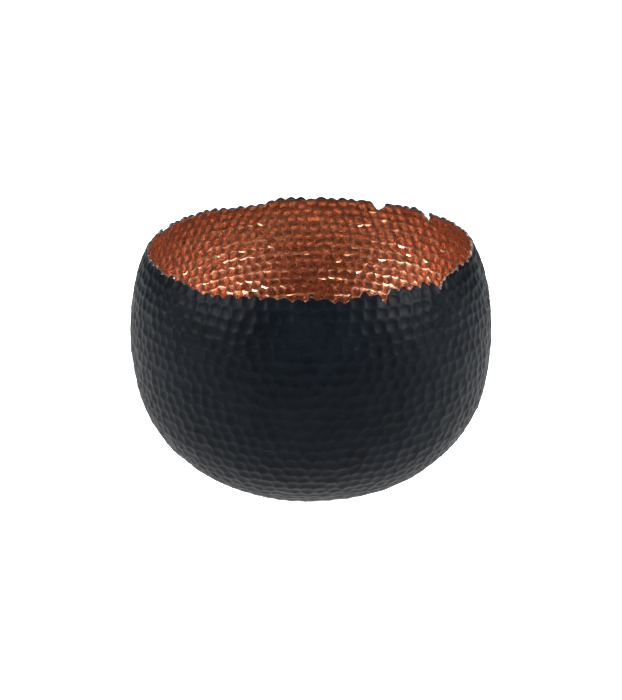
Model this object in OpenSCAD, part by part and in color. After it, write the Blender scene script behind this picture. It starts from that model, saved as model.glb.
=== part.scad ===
/* [Bowl] */
// Widest outside diameter, across the belly
bowl_d = 300; // [240:1:360]
// Height of the rim's mean line above the underside of the base
rim_h = 196; // [160:1:225]
// Thickness of the copper sheet
copper_t = 1.2; // [0.8:0.1:2]
// Thickness of the black coat on the outside
coat_t = 0.3; // [0.2:0.05:0.5]

/* [Curve of the wall] */
// Radius of the heel, where the flat base turns up
heel_r = 46; // [30:1:70]
// Slope of the wall at the top of the heel, in degrees from level
heel_slope = 15; // [8:1:25]
// Radius of the lower wall
lower_r = 98; // [80:1:120]
// Slope at the top of the lower wall
lower_slope = 80; // [70:1:85]
// Radius of the belly
belly_r = 200; // [150:1:260]
// Slope at the top of the belly, past upright
belly_slope = 106.5; // [100:0.5:112]
// Radius of the shoulder, which turns in to the rim
shoulder_r = 115; // [90:1:150]

/* [Ragged rim] */
// Lobes along the rim, one to each hammer mark in the top ring
rim_lobes = 86; // [64:1:104]
// Height of the largest lobes
lobe_h = 3.4; // [1:0.1:4]
// How far the bottoms between the lobes wander up and down
lobe_wander = 1.8; // [0:0.1:3]
// How far the rim climbs from its mean line to its high side
rim_tilt = 2; // [0:0.1:4]
// Direction of the high side, in degrees
rim_tilt_at = 25; // [0:5:355]
// Depth of the deepest tear
tear_depth = 8; // [4:0.5:12]

/* [Foot pads] */
// Diameter of a pad
pad_d = 20; // [14:1:24]
// Thickness of a pad
pad_t = 2; // [1.5:0.5:4]
// Distance from the edge of a pad to the edge of the flat base
pad_inset = 6; // [3:1:10]

/* [Hidden] */
$fn = 180;

// The wall is a chain of arcs that flow into each other, from the flat base up. The belly is two
// arcs of one radius, which meet at the widest ring, where the wall is upright.
ARC_R = [heel_r, lower_r, belly_r, belly_r, shoulder_r];
FOOT_SLOPE = [0, heel_slope, lower_slope, 90, belly_slope];
// Degrees of slope from one point of the outline to the next.
SLOPE_STEP = 3;

// Outward and upward run from the edge of the flat base to the foot of arc n.
function run_out(n) = n == 0 ? 0
    : run_out(n - 1) + ARC_R[n - 1] * (sin(FOOT_SLOPE[n]) - sin(FOOT_SLOPE[n - 1]));
function run_up(n) = n == 0 ? 0
    : run_up(n - 1) + ARC_R[n - 1] * (cos(FOOT_SLOPE[n - 1]) - cos(FOOT_SLOPE[n]));

// The widest ring sets the radius of the flat base.
base_r = bowl_d / 2 - run_out(3);
pad_circle_r = base_r - pad_inset - pad_d / 2;

// The shoulder goes on until the blank stands above the highest lobe by a spare strip.
BLANK_SPARE = 2;
blank_h = rim_h + rim_tilt + lobe_h + lobe_wander + BLANK_SPARE;
blank_slope = acos(cos(belly_slope) - max(0, blank_h - run_up(4)) / shoulder_r);
TOP_SLOPE = [heel_slope, lower_slope, 90, belly_slope, blank_slope];

// Point of the wall on arc n where it has that slope, at a depth under the outside face.
function wall_point(n, slope, depth) = [
    base_r + run_out(n) - ARC_R[n] * sin(FOOT_SLOPE[n]) + (ARC_R[n] - depth) * sin(slope),
    run_up(n) + ARC_R[n] * cos(FOOT_SLOPE[n]) - (ARC_R[n] - depth) * cos(slope)
];
function arc_steps(n) = max(1, ceil((TOP_SLOPE[n] - FOOT_SLOPE[n]) / SLOPE_STEP));
function arc_slope(n, step) = FOOT_SLOPE[n] + (TOP_SLOPE[n] - FOOT_SLOPE[n]) * step / arc_steps(n);
function wall_face(depth) = [
    for (n = [0:4], step = [0:arc_steps(n) - 1]) wall_point(n, arc_slope(n, step), depth),
    wall_point(4, blank_slope, depth)
];
function backwards(list) = [for (i = [len(list) - 1:-1:0]) list[i]];

// Tears and sags of the rim: [angle, width in degrees, depth as a share of tear_depth].
TEARS = [
    [38, 7, 1], [62, 9, 1], [118, 38, 0.5], [161, 8, 0.4], [239, 40, 0.4],
    [280, 10, 0.3], [292.5, 3, 0.75], [314, 9, 0.7]
];
// Points along each lobe, its roundness, the least share of lobe_h that a lobe has, and how
// unevenly the lobes are spaced, as a share of their pitch.
LOBE_STEPS = 3;
LOBE_ROUNDNESS = 1.25;
LEAST_LOBE = 0.35;
LOBE_SHIFT = 0.3;

// An even spread of uneven numbers from 0 to 1.
function chance(n) = let (v = 43758.5453 * sin(127.1 * n)) v - floor(v);
function mix(a, b, share) = a * (1 - share) + b * share;

// The edge dips between lobes n - 1 and n at dip_angle(n), and lobe n rises from there to the next dip.
function dip_angle(n) = (n + LOBE_SHIFT * (chance(n % rim_lobes) - 0.5)) * 360 / rim_lobes;
function dip_h(n) = lobe_wander * (chance(n % rim_lobes + 0.37) - 0.5) - lobe_h / 2;
function lobe_rise(n, share) =
    lobe_h * mix(LEAST_LOBE, 1, chance(n + 0.71)) * sin(180 * share) ^ LOBE_ROUNDNESS;
function angle_between(a, b) = abs((a - b + 540) % 360 - 180);
function tear(angle, t) =
    let (off = angle_between(angle, t[0]) / (t[1] / 2))
    off < 1 ? t[2] * tear_depth * cos(90 * off) ^ 2 : 0;
function edge_point(n, share) =
    let (angle = mix(dip_angle(n), dip_angle(n + 1), share))
    let (torn = max([for (t = TEARS) tear(angle, t)]))
    [
        angle,
        rim_h + rim_tilt * cos(angle - rim_tilt_at) - torn
            + mix(dip_h(n), dip_h(n + 1), share) + lobe_rise(n, share)
    ];
EDGE = [for (n = [0:rim_lobes - 1], step = [0:LOBE_STEPS - 1]) edge_point(n, step / LOBE_STEPS)];

// The cutter that tears the rim is a ring of triangular section, base down.
CUTTER_HALF_W = 60;
CUTTER_H = 90;
cutter_r = bowl_d / 2 - 25;

// A sheet between two depths under the outside face, with a plain top.
module blank(depth_out, depth_in) {
    rotate_extrude()
        polygon([
            [0, depth_out],
            each wall_face(depth_out),
            each backwards(wall_face(depth_in)),
            [0, depth_in]
        ]);
}

// Everything above the ragged edge.
module above_the_edge() {
    count = len(EDGE);
    points = [
        for (e = EDGE) each [
            [(cutter_r - CUTTER_HALF_W) * cos(e[0]), (cutter_r - CUTTER_HALF_W) * sin(e[0]), e[1]],
            [(cutter_r + CUTTER_HALF_W) * cos(e[0]), (cutter_r + CUTTER_HALF_W) * sin(e[0]), e[1]],
            [cutter_r * cos(e[0]), cutter_r * sin(e[0]), e[1] + CUTTER_H]
        ]
    ];
    faces = [
        for (i = [0:count - 1], k = [0:2])
            let (j = (i + 1) % count)
            let (m = (k + 1) % 3)
            each [[3 * i + k, 3 * i + m, 3 * j + m], [3 * i + k, 3 * j + m, 3 * j + k]]
    ];
    polyhedron(points, faces);
}

module torn_sheet(depth_out, depth_in) {
    translate([0, 0, pad_t])
        difference() {
            blank(depth_out, depth_in);
            above_the_edge();
        }
}

// Copper sheet raised with a hammer and polished inside.
module copper_bowl() {
    color("#c46f45") torn_sheet(coat_t, coat_t + copper_t);
}

// Matt black coat, bonded to the whole outside of the copper.
module black_coat() {
    color("#23262b") torn_sheet(0, coat_t);
}

// Felt disc stuck under the flat base.
module foot_pad(n) {
    color("#3c3a38")
        rotate([0, 0, (n - 0.5) * 90])
            translate([pad_circle_r, 0, 0])
                cylinder(d = pad_d, h = pad_t);
}

copper_bowl();
black_coat();
foot_pad(1);  // foot_pad_1
foot_pad(2);  // foot_pad_2
foot_pad(3);  // foot_pad_3
foot_pad(4);  // foot_pad_4
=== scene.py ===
"""A hammered copper bowl, black outside and bright inside, standing on felt pads. Metres, +Z up."""

from bisect import bisect
from math import atan2, cos, degrees, floor, hypot, pi, radians, sin
from random import Random

import bmesh
import bpy
from mathutils import Matrix, Vector, kdtree, noise


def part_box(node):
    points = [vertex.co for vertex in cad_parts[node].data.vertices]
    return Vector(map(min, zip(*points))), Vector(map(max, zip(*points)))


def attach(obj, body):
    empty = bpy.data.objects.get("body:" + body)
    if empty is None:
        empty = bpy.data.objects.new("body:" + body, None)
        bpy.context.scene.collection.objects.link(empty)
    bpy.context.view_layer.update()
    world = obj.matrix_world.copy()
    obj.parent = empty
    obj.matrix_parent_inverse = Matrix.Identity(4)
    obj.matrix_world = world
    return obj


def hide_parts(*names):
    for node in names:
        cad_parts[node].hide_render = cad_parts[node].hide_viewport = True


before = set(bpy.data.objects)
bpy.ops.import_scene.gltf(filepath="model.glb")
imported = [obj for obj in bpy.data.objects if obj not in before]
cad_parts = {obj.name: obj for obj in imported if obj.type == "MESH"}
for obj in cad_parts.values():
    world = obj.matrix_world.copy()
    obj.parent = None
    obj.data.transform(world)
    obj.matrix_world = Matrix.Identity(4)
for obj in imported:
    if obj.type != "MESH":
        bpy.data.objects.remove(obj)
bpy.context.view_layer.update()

# The camera stands four fifths of a metre away and looks down into the mouth, so that the
# bright inside shows above the near rim.
CAMERA_DISTANCE = 0.795
CAMERA_TILT = radians(24.17)
CAMERA_AIM_HEIGHT = 0.1002
CAMERA_LENS = 47.8

camera = bpy.data.objects.new("camera", bpy.data.cameras.new("camera"))
camera.data.lens = CAMERA_LENS
camera.location = (
    0,
    -CAMERA_DISTANCE * cos(CAMERA_TILT),
    CAMERA_AIM_HEIGHT + CAMERA_DISTANCE * sin(CAMERA_TILT),
)
camera.rotation_euler = (pi / 2 - CAMERA_TILT, 0, 0)
bpy.context.scene.collection.objects.link(camera)
bpy.context.scene.camera = camera

# The bowl is one sheet of copper, raised with a hammer from a flat disc over stakes, and
# sprayed black outside. Its wall is a chain of curves: a flat base, a heel, a lower wall, a
# belly and a shoulder that turns in. Each has a radius, and a slope at its foot and its top.
SHEET = 0.0012
COAT = 0.0003
WALL_CURVES = (
    (0.046, radians(0), radians(15)),
    (0.098, radians(15), radians(80)),
    (0.200, radians(80), radians(106.5)),
    (0.115, radians(106.5), radians(150)),
)
coat_low, coat_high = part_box("black_coat")
base_height = coat_low.z
wall_arcs = []
arc_r = arc_z = 0.0
for radius, foot, top in WALL_CURVES:
    wall_arcs.append([arc_r - radius * sin(foot), arc_z + radius * cos(foot), radius, foot, top])
    arc_r += radius * (sin(top) - sin(foot))
    arc_z += radius * (cos(foot) - cos(top))
belly = wall_arcs[2]
base_radius = coat_high.x - belly[0] - belly[2]
for arc in wall_arcs:
    arc[0] += base_radius
    arc[1] += base_height


def along_wall(run):
    """Radius and height of the outside, that far along it from the middle of the base."""
    if run < base_radius:
        return run, base_height
    run -= base_radius
    for centre_r, centre_z, radius, foot, top in wall_arcs:
        if run <= radius * (top - foot):
            break
        run -= radius * (top - foot)
    slope = foot + run / radius
    return centre_r + radius * sin(slope), centre_z - radius * cos(slope)


def foot_on_wall(point):
    """The place on the smooth outside nearest to a point, and the way out of the sheet there."""
    r = hypot(point.x, point.y)
    if r < base_radius:
        return Vector((point.x, point.y, base_height)), Vector((0, 0, -1))
    for centre_r, centre_z, radius, foot, top in wall_arcs:
        slope = atan2(r - centre_r, centre_z - point.z)
        if slope <= top:
            break
    round_x, round_y = point.x / r, point.y / r
    wall_r, wall_z = centre_r + radius * sin(slope), centre_z - radius * cos(slope)
    way_out = Vector((round_x * sin(slope), round_y * sin(slope), -cos(slope)))
    return Vector((round_x * wall_r, round_y * wall_r, wall_z)), way_out


# The hammer went round in rings, from the middle of the base up to the rim. Each blow left a
# shallow dish outside and a pebble inside, with a crease where it meets the blows beside it.
MARK_ACROSS = 0.0094
MARK_UP = 0.0086
RINGS = 37
FIRST_RING = 6
STRAY = 0.10
DOUBLE_SHARE = 0.05
DEPTH_SPREAD = 0.00007
HAMMER_R = 0.018
MEAN_DISH = 0.00040


def strike_lattice(luck):
    """Triangles between the middles of the blows, and which blows landed as one long mark."""
    lattice = bmesh.new()
    bmesh.ops.create_circle(
        lattice, cap_ends=True, cap_tris=True, segments=FIRST_RING, radius=MARK_UP
    )
    long_with = {}
    edge = [e for e in lattice.edges if e.is_boundary]
    for ring in range(2, RINGS + 1):
        run = ring * MARK_UP
        r = along_wall(run)[0]
        turn = Matrix.Rotation(luck.uniform(0, 2 * pi), 4, "Z")
        first = len(lattice.verts)
        count = round(2 * pi * r / MARK_ACROSS)
        made = bmesh.ops.create_circle(lattice, segments=count, radius=r, matrix=turn)["verts"]
        on_ring = set(made)
        ring_edge = [e for e in lattice.edges if on_ring.issuperset(e.verts)]
        bmesh.ops.bridge_loops(lattice, edges=edge + ring_edge)
        for v in made:
            angle = atan2(v.co.y, v.co.x) + luck.gauss(0, STRAY) * MARK_ACROSS / r
            wall_r, wall_z = along_wall(run + luck.gauss(0, STRAY) * MARK_UP)
            v.co = (wall_r * cos(angle), wall_r * sin(angle), wall_z)
        for n in range(first, len(lattice.verts) - 1):
            if n not in long_with.values() and luck.random() < DOUBLE_SHARE:
                long_with[n] = n + 1
        edge = ring_edge
    for v in lattice.verts[: FIRST_RING + 1]:
        v.co.z = base_height
    bmesh.ops.triangulate(lattice, faces=lattice.faces[:], quad_method="SHORT_EDGE")
    bmesh.ops.beautify_fill(lattice, faces=lattice.faces[:], edges=lattice.edges[:], method="ANGLE")
    bmesh.ops.recalc_face_normals(lattice, faces=lattice.faces[:])
    return lattice, long_with


CORNER_REACH = 0.5 * MARK_UP
DRAWN_IN = 0.85
NO_AREA = 1e-9


def crease_point(a, b, c):
    """Where three dishes meet: as far from one blow as from the others, but drawn in a little."""
    ab, ac = b - a, c - a
    across = ab.cross(ac)
    middle = (a + b + c) / 3
    if across.length < NO_AREA:
        return middle
    swing = across.cross(ab) * ac.length_squared + ac.cross(across) * ab.length_squared
    even = a + swing / (2 * across.length_squared)
    off = even - middle
    if off.length > CORNER_REACH:
        off *= CORNER_REACH / off.length
    return middle + DRAWN_IN * off


def mark_cells(cuts):
    """The lattice turned so that its edges are the creases, with every mark cut into small faces."""
    bm = lattice.copy()
    spans = [e for e in bm.edges if not e.is_boundary]
    for v in bmesh.ops.poke(bm, faces=bm.faces[:])["verts"]:
        a, b, c = (e.other_vert(v).co for e in v.link_edges)
        v.co = crease_point(a, b, c)
    for e in spans:
        bmesh.utils.edge_rotate(e, False).seam = True
    if cuts:
        bmesh.ops.subdivide_edges(bm, edges=bm.edges[:], cuts=cuts, use_grid_fill=True)
    return bm


luck = Random(4)
lattice, long_with = strike_lattice(luck)
blows = [foot_on_wall(v.co)[0] for v in lattice.verts]
mark_of = list(range(len(blows)))
for n, other in long_with.items():
    mark_of[other] = n
mark_middle = [(blow + blows[long_with.get(n, n)]) / 2 for n, blow in enumerate(blows)]
mark_depth = [luck.gauss(0, DEPTH_SPREAD) for _ in blows]
finder = kdtree.KDTree(len(blows))
for n, blow in enumerate(blows):
    finder.insert(blow, n)
finder.balance()


def off_mark(place, mark):
    """Distance from a place to the middle of a mark, or to the middle line of a long one."""
    start, end = blows[mark], blows[long_with.get(mark, mark)]
    line = end - start
    if line.length_squared == 0:
        return (place - start).length
    share = min(1, max(0, (place - start).dot(line) / line.length_squared))
    return (place - start - share * line).length


BLOWS_NEARBY = 5


def nearest_marks(place):
    """The three nearest marks with their distances, the nearest first."""
    near = {mark_of[n] for _, n, _ in finder.find_n(place, BLOWS_NEARBY)}
    return sorted((off_mark(place, mark), mark) for mark in near)[:3]


# A later blow cuts into the marks of the earlier ones, so its rim bows out over them, less so
# towards a corner where three marks meet.
BOW = 0.0006
BOW_REACH = 0.0052
BOW_CORNER = 0.0036
CREASE_TIE = 0.0015


def struck(place, on_crease):
    """Where a point of the sheet lands, and how far it stands out from the bottom of a dish."""
    (near, mark), (next_near, other), (third, _) = nearest_marks(place)
    late, early = max(mark, other), min(mark, other)
    bow = BOW * max(0, 1 - (next_near - near) / BOW_REACH) * min(1, (third - next_near) / BOW_CORNER)
    place = place + (mark_middle[early] - mark_middle[late]).normalized() * bow
    owner = late if on_crease and next_near - near < CREASE_TIE else mark
    off = off_mark(place, owner)
    return place, off * off / (2 * HAMMER_R) - mark_depth[owner]


# No hand-raised wall is quite true: it wanders in and out in slow waves.
WANDER = 0.0004
WAVES_PER_METRE = 16


def hammered_face(cuts, depth, relief):
    """One face of the sheet, at a depth under the outside, with its share of the marks' relief."""
    bm = mark_cells(cuts)
    for v in bm.verts:
        on_crease = any(e.seam for e in v.link_edges)
        place, dish = struck(foot_on_wall(v.co)[0], on_crease)
        place, way_out = foot_on_wall(place)
        out = relief * (dish - MEAN_DISH) - depth + WANDER * noise.noise(place * WAVES_PER_METRE)
        v.co = place + way_out * out
    bmesh.ops.recalc_face_normals(bm, faces=bm.faces[:])
    return bm


def closed_sheet(name, outer, inner):
    """Joins two faces of a sheet across their top edges into one closed sheet."""
    bmesh.ops.reverse_faces(inner, faces=inner.faces[:])
    mesh = bpy.data.meshes.new(name)
    inner.to_mesh(mesh)
    outer.from_mesh(mesh)
    bmesh.ops.bridge_loops(outer, edges=[e for e in outer.edges if e.is_boundary])
    outer.to_mesh(mesh)
    outer.free()
    inner.free()
    piece = bpy.data.objects.new(name, mesh)
    bpy.context.scene.collection.objects.link(piece)
    return piece


# The rim is left as it tore: a lobe for each blow of the top ring, a slight tilt, and a few
# sags and deep tears, each given as its angle, its width and its share of the deepest.
RIM_HEIGHT = 0.196
LOBES = 86
LOBE_RISE = 0.0034
LOBE_WANDER = 0.0018
LEAST_LOBE = 0.35
LOBE_SHIFT = 0.3
LOBE_ROUNDNESS = 1.25
STEPS_IN_LOBE = 10
RIM_TILT = 0.002
RIM_TILT_AT = radians(25)
DEEPEST_TEAR = 0.008
TEARS = (
    (38, 7, 1), (62, 9, 1), (118, 38, 0.5), (161, 8, 0.4),
    (239, 40, 0.4), (280, 10, 0.3), (292.5, 3, 0.75), (314, 9, 0.7),
)

# A sine taken in great steps scatters the dips and the lobes.
SCATTER = 43758.5453
SCATTER_DEGREES = 127.1
HEIGHT_DRAW = 0.37
RISE_DRAW = 0.71


def chance(n):
    """A number from 0 to 1 that looks drawn by chance but is the same each time."""
    spread = SCATTER * sin(radians(SCATTER_DEGREES * n))
    return spread - floor(spread)


def mix(a, b, share):
    return a * (1 - share) + b * share


def dip_angle(n):
    """Where the dip before a lobe is, round the rim."""
    return radians((n + LOBE_SHIFT * (chance(n % LOBES) - 0.5)) * 360 / LOBES)


def dip_height(n):
    """How high the dip before a lobe is, against the level of the rim."""
    return LOBE_WANDER * (chance(n % LOBES + HEIGHT_DRAW) - 0.5) - LOBE_RISE / 2


def torn_away(angle):
    """How much the sags and tears take off the rim there."""
    deepest = 0.0
    for at, width, share in TEARS:
        off = abs((degrees(angle) - at + 540) % 360 - 180) / (width / 2)
        if off < 1:
            deepest = max(deepest, share * DEEPEST_TEAR * cos(pi / 2 * off) ** 2)
    return deepest


def edge_point(n, share):
    """Angle, height and lobe's rise of the torn edge, that share of the way along a lobe."""
    angle = mix(dip_angle(n), dip_angle(n + 1), share)
    rise = LOBE_RISE * mix(LEAST_LOBE, 1, chance(n + RISE_DRAW))
    rise *= sin(pi * share) ** LOBE_ROUNDNESS
    level = base_height + RIM_HEIGHT + RIM_TILT * cos(angle - RIM_TILT_AT) - torn_away(angle)
    return angle, level + mix(dip_height(n), dip_height(n + 1), share) + rise, rise


torn_edge = [
    edge_point(n, step / STEPS_IN_LOBE) for n in range(LOBES) for step in range(STEPS_IN_LOBE)
]
CUTTER_NEAR = 0.065
CUTTER_FAR = 0.185
CUTTER_TOP = 0.3


def above_the_edge():
    """A ring whose underside is the torn edge, to cut the sheet with."""
    bm = bmesh.new()
    bmesh.ops.create_circle(bm, segments=len(torn_edge), radius=CUTTER_NEAR)
    outward = bmesh.ops.extrude_edge_only(bm, edges=bm.edges[:])["geom"]
    outward = [g for g in outward if isinstance(g, bmesh.types.BMVert)]
    bmesh.ops.scale(bm, verts=outward, vec=Vector((1, 1, 1)) * CUTTER_FAR / CUTTER_NEAR)
    upward = bmesh.ops.extrude_face_region(bm, geom=bm.faces[:])["geom"]
    upward = [g for g in upward if isinstance(g, bmesh.types.BMVert)]
    bmesh.ops.translate(bm, verts=upward, vec=(0, 0, CUTTER_TOP))
    for v in bm.verts:
        step = round(atan2(v.co.y, v.co.x) / (2 * pi) * len(torn_edge)) % len(torn_edge)
        angle, height, _ = torn_edge[step]
        r = hypot(v.co.x, v.co.y)
        v.co = (r * cos(angle), r * sin(angle), v.co.z or height)
    bmesh.ops.triangulate(bm, faces=bm.faces[:])
    bmesh.ops.recalc_face_normals(bm, faces=bm.faces[:])
    mesh = bpy.data.meshes.new("above_the_edge")
    bm.to_mesh(mesh)
    bm.free()
    cutter = bpy.data.objects.new("above_the_edge", mesh)
    bpy.context.scene.collection.objects.link(cutter)
    return cutter


def tear_rim(piece, cutter, crease_angle):
    """Cuts the rim off along the torn edge, and keeps creases above an angle crisp."""
    cut = piece.modifiers.new("torn rim", "BOOLEAN")
    cut.operation = "DIFFERENCE"
    cut.solver = "MANIFOLD"
    cut.object = cutter
    bpy.context.view_layer.update()
    torn = bpy.data.meshes.new_from_object(piece.evaluated_get(bpy.context.evaluated_depsgraph_get()))
    piece.modifiers.clear()
    piece.data = torn
    torn.name = piece.name
    torn.materials.clear()
    torn.shade_smooth()
    torn.set_sharp_from_angle(angle=crease_angle)


def edge_over(point):
    """How far a point is below the torn edge, and the rise of the lobe there."""
    angle = atan2(point.y, point.x) % (2 * pi)
    if angle < torn_edge[0][0]:
        angle += 2 * pi
    after = bisect(torn_edge, (angle,))
    before, after = torn_edge[after - 1], torn_edge[after % len(torn_edge)]
    share = min(1, (angle - before[0]) / ((after[0] - before[0]) % (2 * pi)))
    return mix(before[1], after[1], share) - point.z, mix(before[2], after[2], share)


CREASE_WIDTH = 0.0045
ON_EDGE = 0.00008
TORN_SLOT = 1


def note_creases_and_edge(piece):
    """Writes where the creases and the torn edge are, and gives the torn faces their own finish."""
    mesh = piece.data
    crease = mesh.attributes.new("crease", "FLOAT", "POINT")
    below = mesh.attributes.new("below_edge", "FLOAT", "POINT")
    lobe = mesh.attributes.new("lobe_rise", "FLOAT", "POINT")
    for n, v in enumerate(mesh.vertices):
        (near, _), (next_near, _), _ = nearest_marks(foot_on_wall(v.co)[0])
        # The crease share also sets where painted shade darkens the copper's colour.
        crease.data[n].value = max(0, 1 - (next_near - near) / CREASE_WIDTH)
        below.data[n].value, lobe.data[n].value = edge_over(v.co)
    for face in mesh.polygons:
        if all(below.data[n].value < ON_EDGE for n in face.vertices):
            face.material_index = TORN_SLOT


# Between the sheet and the coat lies a calmer face that both share, so that neither pokes
# through the other. Pebbles keep crisp creases, and the coat softens all but the steepest.
INTERFACE_SLACK = 0.0002
INTERFACE_DEPTH = COAT + INTERFACE_SLACK
INTERFACE_RELIEF = 0.5
FULL_RELIEF = 1
CUTS = 2
CRISP_PEBBLES = radians(14)
CRISP_COAT = radians(60)

cutter = above_the_edge()
copper = closed_sheet(
    "hammered_copper",
    hammered_face(0, INTERFACE_DEPTH, INTERFACE_RELIEF),
    hammered_face(CUTS, COAT + SHEET, FULL_RELIEF),
)
tear_rim(copper, cutter, CRISP_PEBBLES)
note_creases_and_edge(copper)
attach(copper, "root")
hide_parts("copper_bowl")


def new_finish(name, metallic, specular):
    """A new material, with the shader's plain values set; gives its tree and its shader."""
    material = bpy.data.materials.new(name)
    material.use_nodes = True
    shade = material.node_tree.nodes["Principled BSDF"]
    shade.inputs["Metallic"].default_value = metallic
    shade.inputs["Specular IOR Level"].default_value = specular
    return material, material.node_tree, shade


def put(tree, kind, **inputs):
    """A new node, each of its inputs a value or another node's output; gives its first output."""
    made = tree.nodes.new("ShaderNode" + kind)
    for name, value in inputs.items():
        socket = made.inputs[name.replace("_", " ")]
        if isinstance(value, bpy.types.NodeSocket):
            tree.links.new(value, socket)
        else:
            socket.default_value = value
    return made.outputs[0]


def grain(tree, spots, detail=2.0, stretch=None):
    """A noise on the piece's own coordinates, with that many spots to a metre."""
    place = tree.nodes.new("ShaderNodeTexCoord").outputs["Object"]
    if stretch:
        place = put(tree, "Mapping", Vector=place, Scale=stretch)
    return put(tree, "TexNoise", Vector=place, Scale=spots, Detail=detail)


def worn(tree, name):
    """An attribute of the piece as a number."""
    read = tree.nodes.new("ShaderNodeAttribute")
    read.attribute_name = name
    return read.outputs["Fac"]


def ramp(tree, value, low, high, at_low=0.0, at_high=1.0):
    """A value that runs from one level to another while the given one goes from low to high."""
    return put(
        tree, "MapRange", Value=value, From_Min=low, From_Max=high, To_Min=at_low, To_Max=at_high
    )


def blend_colours(tree, share, colour, other):
    """A colour with that share of another in it."""
    return put(tree, "MixRGB", Fac=share, Color1=colour, Color2=other)


def maths(tree, operation, a, b):
    """Works out two values by an operation, each a number or another node's output."""
    made = tree.nodes.new("ShaderNodeMath")
    made.operation = operation
    for socket, value in zip(made.inputs, (a, b)):
        if isinstance(value, bpy.types.NodeSocket):
            tree.links.new(value, socket)
        else:
            socket.default_value = value
    return made.outputs[0]


def roughen(tree, shade, height, strength, depth):
    """A relief too fine to be modelled, that deep in metres at a strength of one."""
    bump = tree.nodes.new("ShaderNodeBump")
    bump.inputs["Strength"].default_value = strength
    bump.inputs["Distance"].default_value = depth
    tree.links.new(height, bump.inputs["Height"])
    tree.links.new(bump.outputs["Normal"], shade.inputs["Normal"])


# The inside is polished and lacquered: bright on the pebbles, rougher in the creases and darkened
# there by painted shade, tarnished in slow patches, and the black has crept over the torn edge by a
# millimetre or two.
BRIGHT_COPPER = (0.63, 0.340, 0.225, 1)
WARM_COPPER = (0.53, 0.265, 0.165, 1)
# A dark copper that is painted into the creases as shade.
CREASE_SHADE_COPPER = (0.12, 0.048, 0.024, 1)
BLACK_PAINT = (0.012, 0.012, 0.013, 1)
BARE_EDGE = (0.34, 0.22, 0.19, 1)
WIDE_SPAN = (0.3, 0.7)
MIDDLE_SPAN = (0.35, 0.65)
TARNISH_SPOTS = 14
CREASE_SPOTS = 120
CREASE_FALL = 1.9
CREASE_SHARE = (0.4, 1)
CREASE_SHADE_SHARE = 0.9
CREEP_SPOTS = 260
CREEP = (-0.0002, 0.0010)
CREEP_BLUR = 0.0002
CREEP_PER_RISE = 0.7
POLISH_SPOTS = 300
POLISH = (0.22, 0.30)
DULLER_CREASE = 0.2
DULLER_PAINT = 0.25
LACQUER_SPOTS = 420
LACQUER_RELIEF = 0.12
LACQUER_DEPTH = 0.0001

copper_finish, tree, shade = new_finish("lacquered_copper", metallic=1, specular=0.5)
tarnish = ramp(tree, grain(tree, TARNISH_SPOTS, detail=4), *MIDDLE_SPAN)
colour = blend_colours(tree, tarnish, BRIGHT_COPPER, WARM_COPPER)
patchy = ramp(tree, grain(tree, CREASE_SPOTS, detail=3), *WIDE_SPAN, *CREASE_SHARE)
in_crease = maths(tree, "POWER", worn(tree, "crease"), CREASE_FALL)
in_crease = maths(tree, "MULTIPLY", in_crease, patchy)
# Painted shade: the colour is drawn towards dark copper in the creases, in patches.
crease_shade = maths(tree, "MULTIPLY", in_crease, CREASE_SHADE_SHARE)
colour = blend_colours(tree, crease_shade, colour, CREASE_SHADE_COPPER)
creep = ramp(tree, grain(tree, CREEP_SPOTS, detail=3), *WIDE_SPAN, *CREEP)
up_lobe = maths(tree, "MULTIPLY", worn(tree, "lobe_rise"), CREEP_PER_RISE)
creep = maths(tree, "ADD", creep, up_lobe)
past_creep = maths(tree, "SUBTRACT", creep, worn(tree, "below_edge"))
painted = ramp(tree, past_creep, -CREEP_BLUR, CREEP_BLUR)
colour = blend_colours(tree, painted, colour, BLACK_PAINT)
tree.links.new(colour, shade.inputs["Base Color"])
tree.links.new(maths(tree, "SUBTRACT", 1.0, painted), shade.inputs["Metallic"])
roughness = ramp(tree, grain(tree, POLISH_SPOTS, detail=4), *WIDE_SPAN, *POLISH)
roughness = maths(tree, "ADD", roughness, maths(tree, "MULTIPLY", in_crease, DULLER_CREASE))
roughness = maths(tree, "ADD", roughness, maths(tree, "MULTIPLY", painted, DULLER_PAINT))
tree.links.new(roughness, shade.inputs["Roughness"])
roughen(tree, shade, grain(tree, LACQUER_SPOTS, detail=5), LACQUER_RELIEF, LACQUER_DEPTH)
copper.data.materials.append(copper_finish)

# The torn metal of the rim itself is bare in places and blackened in others.
SOOT_SPOTS = 180
SOOT_SPAN = (0.36, 0.54)
TORN_SPOTS = 700
TORN_ROUGHNESS = (0.35, 0.6)

edge_finish, tree, shade = new_finish("torn_edge", metallic=1, specular=0.5)
soot = ramp(tree, grain(tree, SOOT_SPOTS, detail=3), *SOOT_SPAN)
tree.links.new(blend_colours(tree, soot, BARE_EDGE, BLACK_PAINT), shade.inputs["Base Color"])
tree.links.new(maths(tree, "SUBTRACT", 1.0, soot), shade.inputs["Metallic"])
roughness = ramp(tree, grain(tree, TORN_SPOTS), *WIDE_SPAN, *TORN_ROUGHNESS)
tree.links.new(roughness, shade.inputs["Roughness"])
copper.data.materials.append(edge_finish)

# The outside is sprayed with a satin black that has a breath of blue. It rounds the creases,
# dries in a fine orange peel, and shows a little dust in slow patches.
DEEP_BLACK = (0.0007, 0.0012, 0.0019, 1)
DUSTY_BLACK = (0.0014, 0.0022, 0.0033, 1)
COAT_SHINE = 0.025
DUST_SPOTS = 40
SATIN_SPOTS = 220
SATIN = (0.40, 0.50)
PEEL_SPOTS = 1100
PEEL_RELIEF = 0.2
PEEL_DEPTH = 0.0001

coat = closed_sheet(
    "hammered_black_coat",
    hammered_face(CUTS, 0, FULL_RELIEF),
    hammered_face(0, INTERFACE_DEPTH, INTERFACE_RELIEF),
)
tear_rim(coat, cutter, CRISP_COAT)
note_creases_and_edge(coat)
bpy.data.objects.remove(cutter)
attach(coat, "root")
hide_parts("black_coat")

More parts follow.
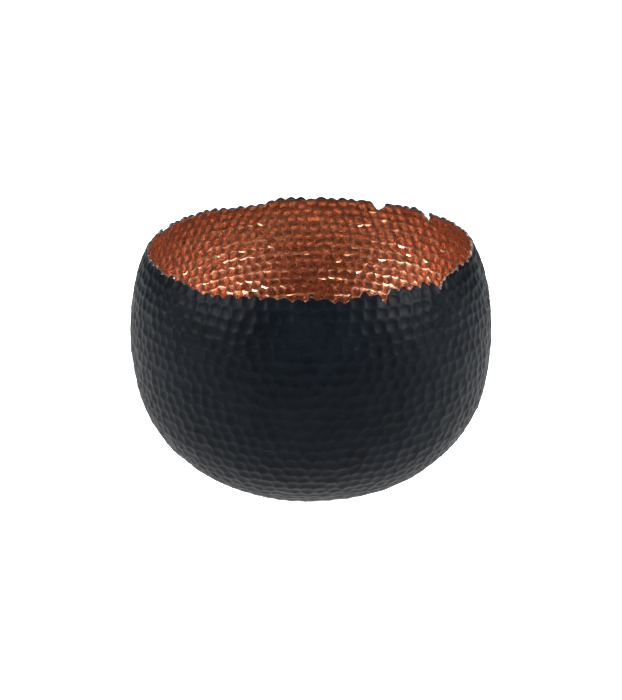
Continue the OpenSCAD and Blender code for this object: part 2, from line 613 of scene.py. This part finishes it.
coat_finish, tree, shade = new_finish("satin_black", metallic=0, specular=COAT_SHINE)
dust = ramp(tree, grain(tree, DUST_SPOTS, detail=5), *MIDDLE_SPAN)
tree.links.new(blend_colours(tree, dust, DEEP_BLACK, DUSTY_BLACK), shade.inputs["Base Color"])
roughness = ramp(tree, grain(tree, SATIN_SPOTS, detail=4), *WIDE_SPAN, *SATIN)
tree.links.new(roughness, shade.inputs["Roughness"])
roughen(tree, shade, grain(tree, PEEL_SPOTS, detail=3), PEEL_RELIEF, PEEL_DEPTH)
coat.data.materials.append(coat_finish)
coat.data.materials.append(edge_finish)

# Four discs of pressed felt are stuck under the base and carry the bowl. The wool is charcoal,
# mottled with paler hairs, and its surface is a mat of fibres with a soft sheen.
CHARCOAL_WOOL = (0.011, 0.011, 0.010, 1)
PALE_HAIR = (0.050, 0.048, 0.045, 1)
MOTTLE_SPOTS = 500
MOTTLE_SHARE = 0.6
HAIR_SPOTS = 900
HAIR_RUN = (1, 6, 3)
HAIR_SPAN = (0.50, 0.62)
WOOL_SHINE = 0.2
WOOL_ROUGHNESS = (0.98, 0.86)
WOOL_SHEEN = 0.12
SHEEN_ROUGHNESS = 0.6
MAT_SPOTS = 1400
MAT_RELIEF = 0.8
MAT_DEPTH = 0.0002
PADS = 4

felt_finish, tree, shade = new_finish("pressed_felt", metallic=0, specular=WOOL_SHINE)
mottle = ramp(tree, grain(tree, MOTTLE_SPOTS, detail=4), *MIDDLE_SPAN, 0, MOTTLE_SHARE)
hairs = ramp(tree, grain(tree, HAIR_SPOTS, detail=5, stretch=HAIR_RUN), *HAIR_SPAN)
pale = maths(tree, "MAXIMUM", mottle, hairs)
tree.links.new(blend_colours(tree, pale, CHARCOAL_WOOL, PALE_HAIR), shade.inputs["Base Color"])
tree.links.new(ramp(tree, mottle, 0, 1, *WOOL_ROUGHNESS), shade.inputs["Roughness"])
shade.inputs["Sheen Weight"].default_value = WOOL_SHEEN
shade.inputs["Sheen Roughness"].default_value = SHEEN_ROUGHNESS
fibres = maths(tree, "ADD", hairs, grain(tree, MAT_SPOTS, detail=3))
roughen(tree, shade, fibres, MAT_RELIEF, MAT_DEPTH)
for n in range(1, PADS + 1):
    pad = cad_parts["foot_pad_%d" % n]
    pad.data.materials.clear()
    pad.data.materials.append(felt_finish)

# The bowl stands on a white sheet that glows, so that the floor is white even where the light
# of the softboxes falls short. Seen from beneath, the sheet is clear. A white dome closes the
# view behind it, and being there for the eye alone, it sheds no light on the bowl.
STUDIO_REACH = 12
FLOOR_LEVEL = -0.00005
FLOOR_GLOW = 0.97
FLOOR_COLOUR = (0.8, 0.8, 0.8, 1)
FLOOR_ROUGHNESS = 0.9
WHITE = (1, 1, 1, 1)

lit_sheet, tree, shade = new_finish("lit_sheet", metallic=0, specular=0)
shade.inputs["Base Color"].default_value = FLOOR_COLOUR
shade.inputs["Roughness"].default_value = FLOOR_ROUGHNESS
shade.inputs["Emission Color"].default_value = WHITE
shade.inputs["Emission Strength"].default_value = FLOOR_GLOW
turned_away = tree.nodes.new("ShaderNodeNewGeometry").outputs["Backfacing"]
one_sided = tree.nodes.new("ShaderNodeMixShader")
tree.links.new(turned_away, one_sided.inputs[0])
tree.links.new(shade.outputs[0], one_sided.inputs[1])
tree.links.new(tree.nodes.new("ShaderNodeBsdfTransparent").outputs[0], one_sided.inputs[2])
tree.links.new(one_sided.outputs[0], tree.nodes["Material Output"].inputs["Surface"])


def staged(name, bm):
    """A piece of the studio, which isn't part of the bowl."""
    mesh = bpy.data.meshes.new(name)
    bm.to_mesh(mesh)
    bm.free()
    mesh.materials.append(lit_sheet)
    piece = bpy.data.objects.new(name, mesh)
    bpy.context.scene.collection.objects.link(piece)
    return piece


bm = bmesh.new()
bmesh.ops.create_grid(bm, x_segments=1, y_segments=1, size=STUDIO_REACH)
bmesh.ops.translate(bm, verts=bm.verts[:], vec=(0, 0, FLOOR_LEVEL))
staged("floor", bm)
bm = bmesh.new()
bmesh.ops.create_icosphere(bm, subdivisions=4, radius=STUDIO_REACH)
bmesh.ops.reverse_faces(bm, faces=bm.faces[:])
dome = staged("dome", bm)
dome.visible_diffuse = False
dome.visible_glossy = False
dome.visible_transmission = False
dome.visible_shadow = False

# Two softboxes stand right and left, a little to the front, and each throws a band of light
# into the mouth. A weaker one in front and one overhead fill in, and a dim room lifts the rest.
# Each is given as its turn from the right and its rise in degrees, width, height and power.
ROOM_LIGHT = 0.05
LIGHT_RANGE = 1.6
LIT_POINT = Vector((0, 0, 0.12))
SOFTBOXES = (
    ("softbox_right", -26, 27, 0.6, 0.6, 76),
    ("softbox_left", -154, 27, 0.6, 0.6, 66),
    ("softbox_front", -90, 52, 0.9, 0.4, 14),
    ("softbox_overhead", -90, 82, 0.9, 0.9, 5),
)

room = bpy.data.worlds.new("studio")
room.use_nodes = True
room.node_tree.nodes["Background"].inputs["Color"].default_value = WHITE
room.node_tree.nodes["Background"].inputs["Strength"].default_value = ROOM_LIGHT
bpy.context.scene.world = room
for name, turn, rise, width, height, power in SOFTBOXES:
    light = bpy.data.lights.new(name, "AREA")
    light.shape = "RECTANGLE"
    light.size = width
    light.size_y = height
    light.energy = power
    lamp = bpy.data.objects.new(name, light)
    turn, rise = radians(turn), radians(rise)
    way = Vector((cos(rise) * cos(turn), cos(rise) * sin(turn), sin(rise)))
    lamp.location = LIT_POINT + LIGHT_RANGE * way
    lamp.rotation_euler = (-way).to_track_quat("-Z", "Y").to_euler()
    bpy.context.scene.collection.objects.link(lamp)
bpy.context.scene.view_settings.view_transform = "Standard"
